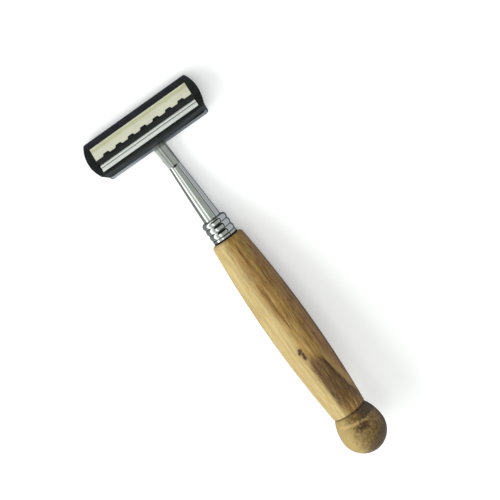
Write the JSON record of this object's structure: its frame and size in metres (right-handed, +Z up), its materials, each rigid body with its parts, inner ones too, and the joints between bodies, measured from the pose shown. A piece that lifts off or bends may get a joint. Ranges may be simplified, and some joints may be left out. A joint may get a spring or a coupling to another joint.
{
  "type": "cartridge razor",
  "caption": "Cartridge razor with a chrome T-head, beaded ferrule and turned wooden handle ending in a knob; the twin-blade cartridge slides off sideways.",
  "frame": {"origin": "on the table under the middle of the razor's length, on its centre plane, as it lies on its back", "axes": "+Z up, the way the cartridge faces; +Y from the knob towards the head; +X to the right when seen face on with the head up"},
  "size_m": [0.0418, 0.132, 0.0215],
  "materials": {
    "turned_wood": "oiled and polished, warm mid brown with pale sapwood and dark heartwood",
    "chrome_plate": "bright chrome plating",
    "insert_brass": "machined",
    "stud_steel": "plain turned steel",
    "gasket_rubber": "matt black",
    "cartridge_plastic": "black moulded plastic with a fine satin texture",
    "bar_plastic": "charcoal satin plastic",
    "strip_polymer": "waxy pale cream-green lubricating polymer",
    "blade_steel": "bright ground blade steel"
  },
  "bodies": {
    "handle": {"wood_handle": "turned_wood", "threaded_insert": "insert_brass", "handle_stud": "stud_steel", "gasket_ring": "gasket_rubber", "ferrule_collar": "chrome_plate", "ferrule": "chrome_plate", "neck": "chrome_plate", "head_arm": "chrome_plate", "t_bar": "chrome_plate", "retainer_spring": "stud_steel", "retainer_plug": "chrome_plate"},
    "plunger": {"retainer_plunger": "stud_steel"},
    "cartridge": {"cartridge_seat": "cartridge_plastic", "seat_blade": "blade_steel", "blade_spacer": "blade_steel", "cap_blade": "blade_steel", "cap": "cartridge_plastic", "lubricating_strip": "strip_polymer", "top_bar": "bar_plastic", "left_end_cheek": "cartridge_plastic", "right_end_cheek": "cartridge_plastic"}
  },
  "joints": [
    {"name": "cartridge_slide", "type": "slide", "parent": "handle", "child": "cartridge", "axis": [1, 0, 0], "range_m": [-0.042, 0.042]},
    {"name": "plunger_press", "type": "slide", "parent": "handle", "child": "plunger", "axis": [0, 0.4749, 0.88], "range_m": [-0.0006, 0], "stiffness_N_per_m": 300, "springref_m": 0.0005, "deforming": ["retainer_spring"]}
  ]
}
